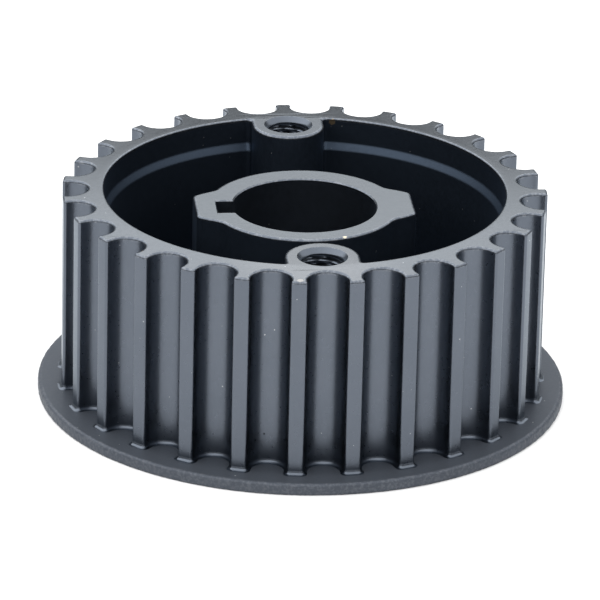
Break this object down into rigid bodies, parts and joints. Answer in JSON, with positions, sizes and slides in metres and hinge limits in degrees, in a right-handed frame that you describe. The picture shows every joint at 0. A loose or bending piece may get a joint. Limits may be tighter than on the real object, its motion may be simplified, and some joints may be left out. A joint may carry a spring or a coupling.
{
  "type": "timing belt pulley",
  "caption": "Toothed belt pulley with round grooves, one guide flange, a keyed hub in an open well and threaded puller bosses.",
  "frame": {"origin": "axis of the bore at the underside of the guide flange, which is the lowest face", "axes": "+Z along the bore towards the open mouth; -X through the keyway; +Y and -Y through the puller bosses"},
  "size_m": [0.0886, 0.0886, 0.036],
  "materials": {
    "oxide_steel": "dense sintered or cast steel with a blue-grey oxide finish, semi-gloss, fine grain",
    "flange_steel": "steel plate with the same blue-grey oxide finish, semi-gloss, coarser at the rim"
  },
  "bodies": {
    "root": {"toothed_body": "oxide_steel", "guide_flange": "flange_steel"}
  },
  "joints": []
}
